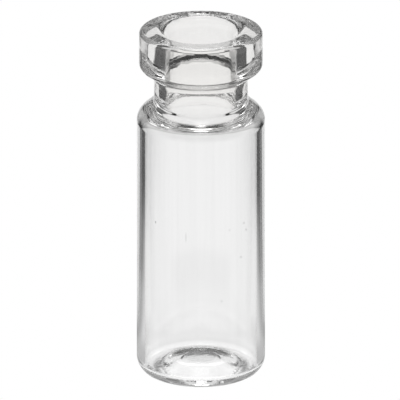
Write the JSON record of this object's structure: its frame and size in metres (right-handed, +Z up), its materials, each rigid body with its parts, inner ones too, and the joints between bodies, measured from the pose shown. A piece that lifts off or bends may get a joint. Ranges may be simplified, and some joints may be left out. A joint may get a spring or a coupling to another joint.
{
  "type": "glass sample vial",
  "caption": "Small clear glass vial with a round body, a pushed-up foot, a sloping shoulder, a short neck and a thick flange for a crimped cap, open and empty.",
  "frame": {"origin": "centre of the foot, on the plane that the vial stands on", "axes": "+Z up along the vial's axis, from foot to mouth; the vial is round, so X and Y are free"},
  "size_m": [0.0116, 0.0116, 0.0327],
  "materials": {
    "glass": "clear colourless borosilicate tube glass, fire-polished, smooth and glossy"
  },
  "bodies": {
    "root": {"vial": "glass"}
  },
  "joints": []
}
